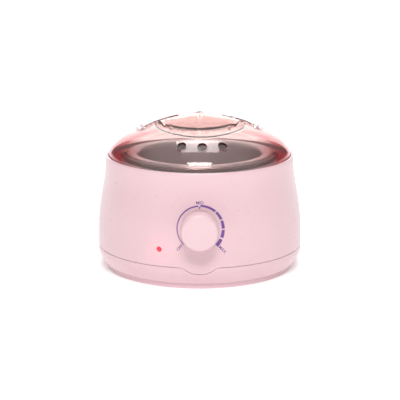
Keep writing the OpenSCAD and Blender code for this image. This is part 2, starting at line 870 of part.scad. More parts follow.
module wax_pot() {
    roll_z = rim_z - roll_r;
    color(aluminium) rotate_extrude($fn = 180)
        polygon(concat(
            [[0, pot_z], [pot_out_r - corner_r, pot_z]],
            arc(pot_out_r - corner_r, pot_z + corner_r, corner_r, -90, 0),
            [[pot_out_r, rim_z - 3 - pot_t], [pot_out_r + 1.6, rim_z - 1 - pot_t]],
            reversed(arc(rim_r - roll_r, roll_z, roll_r - pot_t, 0, 90)),
            [[rim_r - pot_t, hem_z], [rim_r, hem_z]],
            arc(rim_r - roll_r, roll_z, roll_r, 0, 90),
            [[pot_in_r + 1.6, rim_z - 1], [pot_in_r, rim_z - 3]],
            arc(pot_in_r - corner_r + pot_t, pot_z + corner_r, corner_r - pot_t, 0, -90),
            [[0, pot_z + pot_t]]));
}

// Small lugs on the rim, one each side, with the bail's pivot holes
module pot_ears() {
    ear_top = bail_z + bail_d / 2 + run_fit + ear_edge;
    color(aluminium) difference() {
        intersection() {
            tube_of(rim_r, ear_r, hem_z, ear_top);
            translate([-body_r, -ear_w, 0]) cube([body_d, 2 * ear_w, 2 * lip_z]);
        }
        translate([-body_r, 0, bail_z]) rotate([0, 90, 0])
            cylinder(h = body_d, d = bail_d + 2 * run_fit);
    }
}

// The bail lies forward round the rim; its ends step out round the ears and
// turn inwards through them
module pot_bail() {
    arc_n = 40;
    span = 180 - 2 * bail_bend;
    shoulder = [bail_out, -ear_w - 1.5, bail_z];
    bow = [for (i = [0 : arc_n])
        let (a = 180 + bail_bend + span * i / arc_n)
        [bail_r * cos(a), bail_r * sin(a), bail_z]];
    mirrored = function (v) [-v[0], v[1], v[2]];
    color(steel) {
        wire(concat([[-bail_out, bail_d / 2, bail_z], mirrored(shoulder)], bow,
                    [shoulder, [bail_out, bail_d / 2, bail_z]]), bail_d, 12);
        for (side = [0, 180]) rotate(side)
            translate([rim_r + rest_gap, 0, bail_z]) rotate([0, 90, 0])
                cylinder(h = bail_out - rim_r - rest_gap, d = bail_d);
    }
}

// ---- Lid -----------------------------------------------------------------------
// The dome's outline from its edge to its top, moved inwards by t and up by lift
function dome_line(t, lift, n = 16) =
    [for (i = [0 : n]) let (r = (lid_r - t) * cos(90 * i / n))
        [r, dome_z + lift + dome_at(r, lid_r - t, dome_h - t)]];

module dome_form(t, lift, z0) {
    rotate_extrude($fn = 180)
        polygon(concat([[0, z0], [lid_r - t, z0]], dome_line(t, lift)));
}

// The ridge in plan: straight across the lid, waisted by two large circles
module ridge_plan(t) {
    difference() {
        circle(r = ridge_r - t, $fn = 180);
        for (side = [-1, 1])
            translate([0, side * (ridge_w + ridge_bow)])
                circle(r = ridge_bow + t, $fn = 360);
    }
}

module ridge_form(t) {
    intersection() {
        dome_form(t, ridge_up, lip_z);
        translate([0, 0, lip_z]) linear_extrude(height = body_r) ridge_plan(t);
    }
}

// Cross-section of a finger hollow: a dished floor between two sloping sides
module hollow_section(t) {
    n = 10;
    side_h = 40;
    half = grip_w + t;
    rise = pow(grip_w, 2) / (2 * grip_dish);
    top = grip_w + t / sin(grip_slope) + (side_h - rise) / tan(grip_slope);
    polygon(concat(
        [for (i = [0 : n]) let (x = -half + 2 * half * i / n)
            [x, x * x / (2 * grip_dish) - t]],
        [[top, side_h], [-top, side_h]]));
}

module finger_hollow(t) {
    intersection() {
        translate([0, -ridge_w - ridge_bow, lip_z])
            cylinder(h = body_r, r = ridge_bow + t, $fn = 360);
        translate([0, -ridge_w, grip_floor]) rotate([90 - grip_tilt, 0, 0])
            translate([0, 0, -2 * lid_t])
                linear_extrude(height = lid_r) hollow_section(t);
    }
}

module lid_form(t, z0) {
    difference() {
        union() {
            dome_form(t, 0, z0);
            ridge_form(t);
        }
        for (side = [0, 180]) rotate(side) finger_hollow(t);
    }
}

module lid() {
    gate_d = 4;
    gate_h = 0.6;
    color(rose_clear) rotate(lid_turn) difference() {
        union() {
            lid_form(0, lid_rim_z);
            translate([0, 0, dome_z + dome_h + ridge_up - 1])
                cylinder(h = gate_h + 1, d = gate_d);
        }
        lid_form(lid_t, lid_rim_z - over);
        for (a = [-1, 0, 1] * vent_step) rotate(a) translate([0, -vent_r, lip_z])
            cylinder(h = body_r, d = vent_d);
    }
}

upper_housing();
base_housing();
base_screws();
rubber_feet();
heater_bowl();
heater_band();
insulation_wrap();
bowl_strap();
strap_screws();
bowl_nut();
thermostat_bracket();
bracket_screws();
thermostat_bushing();
ceramic_stack();
contact_leaves();
bimetal_strip();
stack_rivet();
crimp_terminals();
indicator_lens();
indicator_lamp();
indicator_holder();
cord_gland();
gland_nut();
cord_clamp();
clamp_screws();
terminal_block();
terminal_screws();
thermal_fuse();
fuse_clip();
live_wire();
neutral_wire();
link_wire();
lamp_wires();
knob();
knob_clip();
thermostat_spindle();
spindle_ring();
wax_pot();
pot_ears();
pot_bail();
lid();
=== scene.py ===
# %% [markdown]
# # A salon wax warmer with a clear lid
#
# A round moulded housing holds a heated bowl and a lift-out pot. This lesson
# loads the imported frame, then turns, bends and sweeps the visible shells from
# short formulas, and gives every piece the finish of the real material.

import json
from math import pi, radians

import bmesh
import bpy
import numpy as np
from mathutils import Matrix, Vector


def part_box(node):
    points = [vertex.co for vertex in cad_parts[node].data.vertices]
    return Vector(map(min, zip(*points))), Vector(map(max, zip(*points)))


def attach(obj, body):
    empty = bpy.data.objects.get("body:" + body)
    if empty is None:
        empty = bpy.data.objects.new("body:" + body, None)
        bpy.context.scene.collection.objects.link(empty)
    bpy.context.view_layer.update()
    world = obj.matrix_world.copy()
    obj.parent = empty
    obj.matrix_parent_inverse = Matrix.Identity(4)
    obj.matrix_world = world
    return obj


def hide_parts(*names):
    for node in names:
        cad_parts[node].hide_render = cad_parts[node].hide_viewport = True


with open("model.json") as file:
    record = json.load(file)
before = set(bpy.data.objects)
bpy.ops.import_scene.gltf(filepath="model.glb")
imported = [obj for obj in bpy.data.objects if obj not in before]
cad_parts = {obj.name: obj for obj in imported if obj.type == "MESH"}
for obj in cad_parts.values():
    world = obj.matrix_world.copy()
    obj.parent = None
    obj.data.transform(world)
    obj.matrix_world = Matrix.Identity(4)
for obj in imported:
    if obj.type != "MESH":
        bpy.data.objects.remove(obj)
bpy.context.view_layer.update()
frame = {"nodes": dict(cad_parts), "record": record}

# %% [markdown]
# ## Sizes
#
# All sizes are in metres. Those of the big shells are read from the frame, so
# the looks stay inside the solids that they stand for.

# %% Sizes from the frame
MM = 0.001
LOW, HIGH = 0, 1
housing_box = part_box("upper_housing")
lid_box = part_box("lid")
pot_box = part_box("wax_pot")
knob_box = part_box("knob")
bail_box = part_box("pot_bail")
body_r = housing_box[HIGH].x
lip_z = housing_box[HIGH].z
neck_r = body_r - 7.1 * MM
seam_z = 20 * MM
foot_h = 5 * MM
wall = 2.5 * MM
wave_w = 17 * MM
wave_h = 5.4 * MM
ledge_z = lip_z - 2.8 * MM
dial_z = (knob_box[LOW].z + knob_box[HIGH].z) / 2
rim_r = pot_box[HIGH].x
pot_r = body_r - 35.8 * MM
lip_r = neck_r - wall
lid_r = lip_r - 0.4 * MM
dome_z = lip_z + 0.8 * MM
dome_h = 34.8 * MM
print("body radius", body_r, "lip height", lip_z, "dial height", dial_z)

# %% [markdown]
# ## Camera
#
# The camera stands back with a long lens, a little above the object, so the
# rounds of the lip and the seam show as shallow curves.

# %% Camera
camera_data = bpy.data.cameras.new("camera")
camera_data.lens = 145
camera_data.sensor_width = 36
camera = bpy.data.objects.new("camera", camera_data)
camera.location = (0.0003, -1.3919, 0.3931)
camera.rotation_euler = (radians(90 - 13.555), 0, 0)
bpy.context.collection.objects.link(camera)
bpy.context.scene.camera = camera


# %% [markdown]
# ## Mesh helpers
#
# Each new piece is a grid of rings. A ring is a row of points round the piece,
# and neighbouring rings are joined by four-sided faces.

# %% Mesh helpers
def grid_faces(rows, cols, close_rows, close_cols):
    """Corner numbers of the faces between a grid's neighbouring points: each
    face joins a point to the next in its row and to the same two a row on."""
    r = np.arange(rows if close_rows else rows - 1)
    c = np.arange(cols if close_cols else cols - 1)
    r, c = np.meshgrid(r, c, indexing="ij")
    r2, c2 = (r + 1) % rows, (c + 1) % cols
    quads = np.stack([r * cols + c, r * cols + c2, r2 * cols + c2, r2 * cols + c], -1)
    return quads.reshape(-1, 4)


def new_piece(name, points, faces, sharp=35):
    """A mesh object from points and faces, smooth but for edges over an angle."""
    mesh = bpy.data.meshes.new(name)
    mesh.from_pydata(points.reshape(-1, 3).tolist(), [], [list(map(int, f)) for f in faces])
    mesh.validate()
    edit = bmesh.new()
    edit.from_mesh(mesh)
    bmesh.ops.remove_doubles(edit, verts=edit.verts, dist=1e-7)
    bmesh.ops.recalc_face_normals(edit, faces=edit.faces)
    edit.to_mesh(mesh)
    edit.free()
    mesh.shade_smooth()
    mesh.set_sharp_from_angle(angle=radians(sharp))
    piece = bpy.data.objects.new(name, mesh)
    bpy.context.collection.objects.link(piece)
    return piece


def turned(name, outline, steps=192, closed=True, sharp=35):
    """A turned shape: each outline point (radius, height) becomes a ring, at
    x = radius cos a and y = radius sin a, for a once round the axis."""
    a = np.linspace(0, 2 * pi, steps, endpoint=False)
    r, z = np.array(outline, float).T
    rings = np.stack([np.outer(r, np.cos(a)), np.outer(r, np.sin(a)),
                      np.outer(z, np.ones(steps))], -1)
    return new_piece(name, rings, grid_faces(len(r), steps, closed, True), sharp)


def arc_points(cx, cz, r, a0, a1, n=8):
    """Points along an arc, from angle a0 to a1 in degrees."""
    a = np.radians(np.linspace(a0, a1, n + 1))
    return list(zip(cx + r * np.cos(a), cz + r * np.sin(a)))


# %% [markdown]
# ## Housing
#
# The side is one S curve from the seam to the neck. Below the seam the base
# tucks in to its foot band. At the front the seam dips in one soft wave.

# %% Housing outline
def side_r(z):
    """Outer radius at height z. Above the seam it falls by half a cosine wave,
    and below it by a power of the distance under the tuck."""
    u = np.clip((z - seam_z) / (lip_z - 5 * MM - seam_z), 0, 1)
    tuck_z = seam_z - 3.2 * MM
    v = np.clip((tuck_z - z) / (tuck_z - foot_h), 0, None)
    s_curve = (body_r - neck_r) * (1 - np.cos(pi * u**1.47)) / 2
    return body_r - s_curve - 5.8 * MM * v**1.63


def seam_height(x, front):
    """Height of the seam: level but for one cosine dip at the front."""
    u = np.clip(np.abs(x) / wave_w, 0, 1) ** 1.5
    return seam_z - np.where(front, wave_h * (1 + np.cos(pi * u)) / 2, 0)


SEAM_GAP = 0.2 * MM
EDGE = 0.35 * MM


def housing_shell(name, steps=512, rows=56):
    """The upper housing: rings up the outside from the seam, over the rounded
    lip, down to the ledge and shelf, and back down the inside."""
    a = np.linspace(0, 2 * pi, steps, endpoint=False)
    c, s = np.cos(a), np.sin(a)
    low = seam_height(body_r * c, s < 0) + SEAM_GAP / 2
    rings = []

    def ring(r, z):
        rings.append(np.stack([r * c, r * s, z * np.ones(steps)], -1))

    top_r = side_r(lip_z)
    round_r = 1.8 * MM
    ring(side_r(low) - EDGE, low)
    for t in np.linspace(0, 1, rows) ** 1.15:
        z = low + EDGE + t * (lip_z - round_r - low - EDGE)
        ring(side_r(z), z)
    for r, z in arc_points(top_r - round_r, lip_z - round_r, round_r, 0, 90)[1:]:
        ring(r, z)
    opening = rim_r + 2.8 * MM
    for r, z in arc_points(lip_r + 0.3 * MM, lip_z - 0.3 * MM, 0.3 * MM, 90, 180, 3):
        ring(r, z)
    for r, z in arc_points(lip_r - 0.6 * MM, ledge_z + 0.6 * MM, 0.6 * MM, 0, -90, 4):
        ring(r, z)
    for r, z in arc_points(opening + 0.4 * MM, ledge_z - 0.4 * MM, 0.4 * MM, 90, 180, 3):
        ring(r, z)
    for r, z in [(opening, ledge_z - 1.2 * MM), (opening - 4.5 * MM, ledge_z - 1.2 * MM),
                 (opening - 4.5 * MM, ledge_z - 3.7 * MM), (opening + wall, ledge_z - 3.7 * MM),
                 (opening + wall, ledge_z - wall)]:
        ring(r, z)
    for t in np.linspace(1, 0, rows // 2):
        z = low + t * (ledge_z - wall - low)
        ring(side_r(z) - wall, z)
    return new_piece(name, np.array(rings), grid_faces(len(rings), steps, True, True))


# %% [markdown]
# Screw bosses and two posts for the bowl's strap hang from the ledge inside.
# They are plain tubes, joined to the shell.

# %% Build the housing
def tube_grid(x, y, r_in, r_out, z0, z1, steps=32):
    """A standing tube: four rings, out and in at the foot and at the top."""
    a = np.linspace(0, 2 * pi, steps, endpoint=False)
    r, z = np.array([(r_out, z0), (r_out, z1), (r_in, z1), (r_in, z0)]).T
    return np.stack([x + np.outer(r, np.cos(a)), y + np.outer(r, np.sin(a)),
                     np.outer(z, np.ones(steps))], -1)


def join(pieces):
    """One object from several, made by adding their meshes together."""
    edit = bmesh.new()
    for piece in pieces:
        edit.from_mesh(piece.data)
    edit.to_mesh(pieces[0].data)
    edit.free()
    for piece in pieces[1:]:
        bpy.data.objects.remove(piece)
    pieces[0].data.shade_smooth()
    pieces[0].data.set_sharp_from_angle(angle=radians(35))
    return pieces[0]


TUBE_IN, TUBE_OUT = 1.55 * MM, 4 * MM
BOSS_TURNS = (45, 135, 225, 315)
TUBE_STEPS = 32
tube_top = ledge_z - 2 * MM
bowl_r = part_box("heater_band")[HIGH].x - 2.1 * MM
boss_r = bowl_r + 16.3 * MM
post_r = bowl_r + 14 * MM
post_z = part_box("bowl_strap")[HIGH].z
shells = [housing_shell("housing_shell")]
tube_faces = grid_faces(4, TUBE_STEPS, True, True)
for turn in BOSS_TURNS:
    x, y = boss_r * np.cos(radians(turn)), boss_r * np.sin(radians(turn))
    rings = tube_grid(x, y, TUBE_IN, TUBE_OUT, foot_h + 4 * MM, tube_top)
    shells.append(new_piece("boss", rings, tube_faces))
for x in (-post_r, post_r):
    rings = tube_grid(x, 0, TUBE_IN, TUBE_OUT, post_z, tube_top)
    shells.append(new_piece("post", rings, tube_faces))
housing = join(shells)
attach(housing, "housing")
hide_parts("upper_housing")
print("housing faces", len(housing.data.polygons))

# %% [markdown]
# ## Lid
#
# The lid is a height above each point of a round plan. The dome comes first,
# then the waisted grip ridge that stands proud of it, then a dished hollow on
# each side of the ridge. Soft minimum and maximum round the edges.

# %% Lid surface
RIDGE_W, RIDGE_BOW, RIDGE_R, RIDGE_UP = 3.5 * MM, 98 * MM, 54.5 * MM, 1.7 * MM
GRIP_W, GRIP_DISH, GRIP_DEPTH = 31 * MM, 150 * MM, 15.8 * MM
GRIP_TILT, GRIP_SIDE, GRIP_FACE = radians(4.7), radians(34), 9
LID_WALL = 2 * MM
LID_TURN = radians(2)


def soft_step(u):
    """0 below 0 and 1 above 1, with a smooth cubic between."""
    u = np.clip(u, 0, 1)
    return u * u * (3 - 2 * u)


def soft_min(a, b, k):
    """The smaller of two surfaces. Where they are within k of each other they are
    mixed by a share h, less k h (1 - h), which rounds the corner."""
    h = np.clip(0.5 + (b - a) / (2 * k), 0, 1)
    return b + (a - b) * h - k * h * (1 - h)


def soft_max(a, b, k):
    """The larger of two surfaces, filleted in the same way."""
    return -soft_min(-a, -b, k)


def lid_height(x, y, t):
    """Height of the lid's skin, moved inwards by t from its outside. The dome is
    its height times (1 - radius share to the 1.9) to the 1 / 1.7. A step inside
    the waisted outline lifts the ridge. The hollow is the highest of a dished
    floor, two sloped sides and the ridge's steep face, and cuts the skin away."""
    r = np.hypot(x, y)
    edge = np.clip(1 - (np.clip(r / (lid_r - t), 0, 1)) ** 1.9, 0, 1)
    dome = dome_z + (dome_h - t) * edge ** (1 / 1.7)
    waist = RIDGE_W - t + RIDGE_BOW - np.sqrt((RIDGE_BOW + t) ** 2 - x**2) + t
    inside = soft_step((waist - np.abs(y)) / (0.9 * MM) + 0.5)
    ends = soft_step((RIDGE_R - r) / (5 * MM) + 0.3)
    skin = dome + RIDGE_UP * inside * ends
    foot = dome_z + dome_h + RIDGE_UP - GRIP_DEPTH - t
    floor = foot + x**2 / (2 * GRIP_DISH) + (np.abs(y) - RIDGE_W) * np.tan(GRIP_TILT)
    side = foot + t + GRIP_W**2 / (2 * GRIP_DISH)
    side = side + (np.abs(x) - GRIP_W) * np.tan(GRIP_SIDE) - t / np.cos(GRIP_SIDE)
    face = foot + GRIP_DEPTH - GRIP_FACE * (np.abs(y) - waist)
    hollow = soft_max(soft_max(floor, side, 1.2 * MM), face, 1.4 * MM)
    return soft_min(skin, hollow, 0.5 * MM)


def lid_rings(t, steps, rows):
    """Rings from the lid's middle out to its edge, closer together near the edge.
    The outside has a small round gate mark on its crown."""
    a = np.linspace(0, 2 * pi, steps, endpoint=False)
    u = np.linspace(0, 1, rows)
    r = (lid_r - t) * (0.75 * u + 0.25 * np.sin(u * pi / 2))
    x, y = np.outer(r, np.cos(a)), np.outer(r, np.sin(a))
    z = lid_height(x, y, t)
    if t == 0:
        z = z + 0.6 * MM * soft_step((2.1 * MM - np.hypot(x, y)) / (0.5 * MM))
    return np.stack([x, y, z], -1)


def lid_shell(name, steps=360, rows=104):
    """The outside from the middle to the edge, round the rim, and back in."""
    a = np.linspace(0, 2 * pi, steps, endpoint=False)
    rim_z = lid_box[LOW].z
    inner_r = lid_r - LID_WALL
    rim = [(lid_r, rim_z + 1.2 * MM)]
    rim += arc_points(lid_r - 0.5 * MM, rim_z + 0.5 * MM, 0.5 * MM, 0, -90, 4)
    rim += arc_points(inner_r + 0.5 * MM, rim_z + 0.5 * MM, 0.5 * MM, -90, -180, 4)
    skirt = [np.stack([r * np.cos(a), r * np.sin(a), z * np.ones(steps)], -1) for r, z in rim]
    outer = lid_rings(0, steps, rows)
    inner = lid_rings(LID_WALL, steps, rows)[::-1]
    points = np.concatenate([outer, np.array(skirt), inner])
    turn = np.array([[np.cos(LID_TURN), np.sin(LID_TURN), 0],
                     [-np.sin(LID_TURN), np.cos(LID_TURN), 0], [0, 0, 1]])
    points = points @ turn
    return new_piece(name, points, grid_faces(len(points), steps, False, True), 40)


def bore(piece, x, y, r, z0, z1):
    """Cuts a round upright hole through a piece."""
    cutter = turned("cutter", [(r, z0), (r, z1), (0, z1), (0, z0)], 48)
    cutter.data.transform(Matrix.Translation((x, y, 0)))
    cut = piece.modifiers.new("bore", "BOOLEAN")
    cut.operation = "DIFFERENCE"
    cut.solver = "EXACT"
    cut.object = cutter
    shaped = piece.evaluated_get(bpy.context.evaluated_depsgraph_get())
    mesh = bpy.data.meshes.new_from_object(shaped)
    piece.modifiers.clear()
    piece.data = mesh
    bpy.data.objects.remove(cutter)


# %% [markdown]
# The lid is turned a little, as it was put down. Three round vents go through
# its front, each cut by a plain upright cylinder.

# %% Build the lid
VENT_R, VENT_D, VENT_STEP = 64.2 * MM, 7.6 * MM, 15.6
lid = lid_shell("clear_lid")
vents = []
for step in (-1, 0, 1):
    turn = radians(step * VENT_STEP) + LID_TURN
    vents.append((VENT_R * np.sin(turn), -VENT_R * np.cos(turn)))
    bore(lid, *vents[-1], VENT_D / 2, lip_z, lip_z + 0.05)
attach(lid, "lid_body")
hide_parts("lid")
print("lid faces", len(lid.data.polygons), "vents", len(vents))

# %% [markdown]
# ## Pot and bail
#
# The pot is spun from one sheet: a straight wall, a soft corner, and a wide rim
# rolled over to a hem. The bail is one bent wire.

# %% Build the pot and the bail
POT_WALL = 1 * MM
ROLL = 2.6 * MM
CORNER = 6 * MM
pot_low, rim_z = pot_box[LOW].z, pot_box[HIGH].z
hem_z = ledge_z + 0.3 * MM
pot_out = pot_r + POT_WALL
roll_x, roll_z = rim_r - ROLL, rim_z - ROLL
outline = [(0, pot_low)]
outline += arc_points(pot_out - CORNER, pot_low + CORNER, CORNER, -90, 0, 10)
outline += [(pot_out, rim_z - 4 * MM), (pot_out + 0.5 * MM, rim_z - 2.6 * MM),
            (pot_out + 1.8 * MM, rim_z - 1.9 * MM)]
outline += arc_points(roll_x, roll_z, ROLL - POT_WALL, 90, 0, 8)
outline += [(rim_r - POT_WALL, hem_z), (rim_r, hem_z)]
outline += arc_points(roll_x, roll_z, ROLL, 0, 90, 14)
outline += [(pot_r + 5.2 * MM, rim_z - 0.15 * MM), (pot_r + 2.6 * MM, rim_z - 0.7 * MM),
            (pot_r + 1 * MM, rim_z - 1.6 * MM), (pot_r + 0.2 * MM, rim_z - 3 * MM),
            (pot_r, rim_z - 4.4 * MM)]
outline += arc_points(pot_out - CORNER, pot_low + CORNER, CORNER - POT_WALL, 0, -90, 10)
outline += [(0, pot_low + POT_WALL)]
pot = turned("spun_pot", outline, 256, closed=False)
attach(pot, "pot")
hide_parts("wax_pot")


def swept(name, path, r, sides=16):
    """A round wire: at each point of the path, a ring of radius r in the plane of
    two directions square to the path, one level and one upright."""
    path = np.array(path)
    ahead = np.gradient(path, axis=0)
    ahead /= np.linalg.norm(ahead, axis=1)[:, None]
    up = np.array([0.0, 0.0, 1.0])
    across = np.cross(ahead, up)
    across /= np.linalg.norm(across, axis=1)[:, None]
    over = np.cross(across, ahead)
    a = np.linspace(0, 2 * pi, sides, endpoint=False)
    rings = (path[:, None] + r * np.cos(a)[None, :, None] * across[:, None]
             + r * np.sin(a)[None, :, None] * over[:, None])
    faces = grid_faces(len(path), sides, False, True).tolist()
    last = (len(path) - 1) * sides
    faces += [list(range(sides)), list(range(last + sides - 1, last - 1, -1))]
    return new_piece(name, rings, faces)


wire_r = (bail_box[HIGH].z - bail_box[LOW].z) / 2
bail_z = (bail_box[HIGH].z + bail_box[LOW].z) / 2
bail_out = bail_box[HIGH].x - wire_r
bail_r = rim_r + 0.4 * MM + wire_r
swing = np.radians(np.linspace(11, 90, 60))
side = [(rim_r + 0.3 * MM, 0, bail_z), (bail_out - 0.6 * MM, 0, bail_z),
        (bail_out - 0.15 * MM, -0.3 * MM, bail_z), (bail_out, -0.9 * MM, bail_z),
        (bail_out, -5.4 * MM, bail_z), (bail_out - 0.3 * MM, -7 * MM, bail_z),
        (bail_out - 1.4 * MM, -9.3 * MM, bail_z)]
side += [(bail_r * np.cos(a), -bail_r * np.sin(a), bail_z) for a in swing]
path = side + [(-x, y, z) for x, y, z in side[-2::-1]]
bail = swept("bail_wire", path, wire_r)
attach(bail, "bail")
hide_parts("pot_bail")
print("pot radius", pot_r, "bail wire radius", wire_r)

# %% [markdown]
# ## Knob
#
# A hollow moulded cap with a soft edge, turned about the dial's axis.

# %% Build the knob
knob_r = (knob_box[HIGH].z - knob_box[LOW].z) / 2 - 0.4 * MM
knob_l = knob_box[HIGH].y - knob_box[LOW].y
KNOB_EDGE, KNOB_WALL = 2.2 * MM, 1.8 * MM
outline = [(knob_r + 0.1 * MM, 0), (knob_r + 0.4 * MM, 0.3 * MM)]
outline += [(knob_r, knob_l - KNOB_EDGE)]
outline += arc_points(knob_r - KNOB_EDGE, knob_l - KNOB_EDGE, KNOB_EDGE, 0, 90, 10)
outline += [(knob_r * 0.6, knob_l - 0.15 * MM), (0, knob_l - 0.25 * MM)]
outline += [(0, knob_l - KNOB_WALL), (knob_r - KNOB_WALL, knob_l - KNOB_WALL),
            (knob_r - KNOB_WALL, 0)]
knob = turned("knob_cap", outline, 160)
hub_in, hub_out = 3.1 * MM, 5 * MM
hub = turned("hub", [(hub_in, 0.4 * MM), (hub_out, 0.4 * MM), (hub_out, knob_l - KNOB_WALL),
                     (hub_in, knob_l - KNOB_WALL)], 48)
knob = join([knob, hub])
face_out = Matrix.Rotation(radians(90), 4, "X")
knob.data.transform(Matrix.Translation((0, knob_box[HIGH].y, dial_z)) @ face_out)
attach(knob, "dial")
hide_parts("knob")
print("knob radius", knob_r, "length", knob_l)

# %% [markdown]
# ## Dial print
#
# The scale is printed on the housing round the knob. It swells from off to the
# top, then runs on in five thick steps. Three plain words name the settings.

# %% Print on the housing
PRINT_R = 18.5 * MM
INK = 0.06 * MM


def on_wall(x, z, lift):
    """The point of the housing's front at x and z, moved out by lift: its y is
    minus the root of the wall's radius squared less x squared."""
    return np.stack([x, -np.sqrt((side_r(z) + lift) ** 2 - x**2), z], -1)


def arc_print(name, a0, a1, w0, w1, steps=24):
    """A printed arc from a0 to a1 degrees clockwise from the top, whose width
    grows from w0 to w1. It is a thin slab with four corners along the arc."""
    a = np.radians(np.linspace(a0, a1, steps))
    width = np.linspace(w0, w1, steps)
    corners = [(0, -INK), (0, INK), (1, INK), (1, -INK)]
    cols = []
    for share, lift in corners:
        r = PRINT_R + share * width
        cols.append(on_wall(r * np.sin(a), dial_z + r * np.cos(a), lift))
    faces = grid_faces(steps, 4, False, True).tolist()
    faces += [[0, 1, 2, 3], [4 * steps - 1, 4 * steps - 2, 4 * steps - 3, 4 * steps - 4]]
    return new_piece(name, np.stack(cols, 1), faces)


def word_print(name, text, size, angle, r, turn):
    """A word on the housing, its middle at an angle and radius from the dial's
    axis, turned clockwise by turn degrees."""
    curve = bpy.data.curves.new(name, "FONT")
    curve.body = text
    curve.size = size
    curve.align_x, curve.align_y = "CENTER", "CENTER"
    curve.extrude = INK
    curve.offset = 0.01 * size
    holder = bpy.data.objects.new(name, curve)
    bpy.context.collection.objects.link(holder)
    shaped = holder.evaluated_get(bpy.context.evaluated_depsgraph_get())
    mesh = bpy.data.meshes.new_from_object(shaped)
    bpy.data.objects.remove(holder)
    co = np.array([v.co for v in mesh.vertices])
    a, t = radians(angle), radians(-turn)
    x = r * np.sin(a) + co[:, 0] * np.cos(t) - co[:, 1] * np.sin(t)
    z = dial_z + r * np.cos(a) + co[:, 0] * np.sin(t) + co[:, 1] * np.cos(t)
    mesh.vertices.foreach_set("co", on_wall(x, z, co[:, 2]).ravel())
    mesh.update()
    piece = bpy.data.objects.new(name, mesh)
    bpy.context.collection.objects.link(piece)
    return piece


STEPS = [(2, 42), (45, 67), (70, 90), (93, 112), (116, 135)]
marks = [arc_print("scale_low", -135, -3, 0.7 * MM, 1.2 * MM, 64)]
for number, (a0, a1) in enumerate(STEPS):
    w0, w1 = (1.7 + 0.3 * number) * MM, (2.0 + 0.3 * number) * MM
    marks.append(arc_print(f"scale_step_{number + 1}", a0, a1, w0, w1))
marks.append(arc_print("scale_pointer", -2, 2, -1.5 * MM, -1.5 * MM, 6))
WORD = 3.6 * MM
marks.append(word_print("word_mid", "MID", WORD, 0, PRINT_R + 3.2 * MM, 0))
marks.append(word_print("word_off", "OFF", WORD, -134, PRINT_R + 4.6 * MM, -46))
marks.append(word_print("word_max", "MAX", WORD, 133, PRINT_R + 7.6 * MM, 46))
for mark in marks:
    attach(mark, "housing")
print("printed marks", len(marks))

# %% [markdown]
# ## Finishes
#
# Every finish starts from the real material. One function adds a node with its
# settings and its links, and another turns a screen colour into linear light.

# %% Shader helpers
def linear(hex_text):
    """A screen colour as linear red, green and blue: each part is (c + 0.055) /
    1.055 to the power 2.4, or c / 12.92 where it is very dark."""
    c = np.array([int(hex_text[i:i + 2], 16) / 255 for i in (0, 2, 4)])
    c = np.where(c < 0.04045, c / 12.92, ((c + 0.055) / 1.055) ** 2.4)
    return (*c, 1.0)


def add(material, kind, inputs=None, **settings):
    """Adds a node. An input is a value, or another node's socket to link."""
    made = material.node_tree.nodes.new(kind)
    for key, value in settings.items():
        setattr(made, key, value)
    for key, value in (inputs or {}).items():
        if isinstance(value, bpy.types.NodeSocket):
            material.node_tree.links.new(value, made.inputs[key])
        else:
            made.inputs[key].default_value = value
    return made


def finish_of(name, colour, shade, grain, bump, rough, rough_range, **fixed):
    """A finish: its colour drifts towards shade over a few centimetres, a grain
    of the given size in millimetres lifts it by bump millimetres, and the same
    grain changes its roughness by rough_range."""
    material = bpy.data.materials.new(name)
    material.use_nodes = True
    material.node_tree.nodes.clear()
    place = add(material, "ShaderNodeTexCoord").outputs["Object"]
    drift = add(material, "ShaderNodeTexNoise",
                {"Vector": place, "Scale": 1 / (40 * MM), "Detail": 2.0})
    colours = add(material, "ShaderNodeMix", {0: drift.outputs["Fac"], 6: linear(colour),
                                              7: linear(shade)}, data_type="RGBA")
    fine = add(material, "ShaderNodeTexNoise",
               {"Vector": place, "Scale": 1 / (grain * MM), "Detail": 3.0})
    uneven = add(material, "ShaderNodeMapRange",
                 {"Value": fine.outputs["Fac"], "From Min": 0.3, "From Max": 0.7,
                  "To Min": rough - rough_range, "To Max": rough + rough_range})
    raised = add(material, "ShaderNodeBump",
                 {"Height": fine.outputs["Fac"], "Distance": bump * MM, "Strength": 1.0})
    values = {"Base Color": colours.outputs[2], "Roughness": uneven.outputs["Result"],
              "Normal": raised.outputs["Normal"], **fixed}
    shader = add(material, "ShaderNodeBsdfPrincipled", values)
    add(material, "ShaderNodeOutputMaterial", {"Surface": shader.outputs["BSDF"]})
    return material


# %% [markdown]
# The housing is glossy ABS, moulded in a pale pink. A polished mould leaves a
# clear sheen with a very slight orange peel. The lid is polystyrene, clear but
# tinted rose, so its thick edges go deep red while its thin crown stays pale.
# The pot is spun aluminium: fine rings run round it, and it is matt.

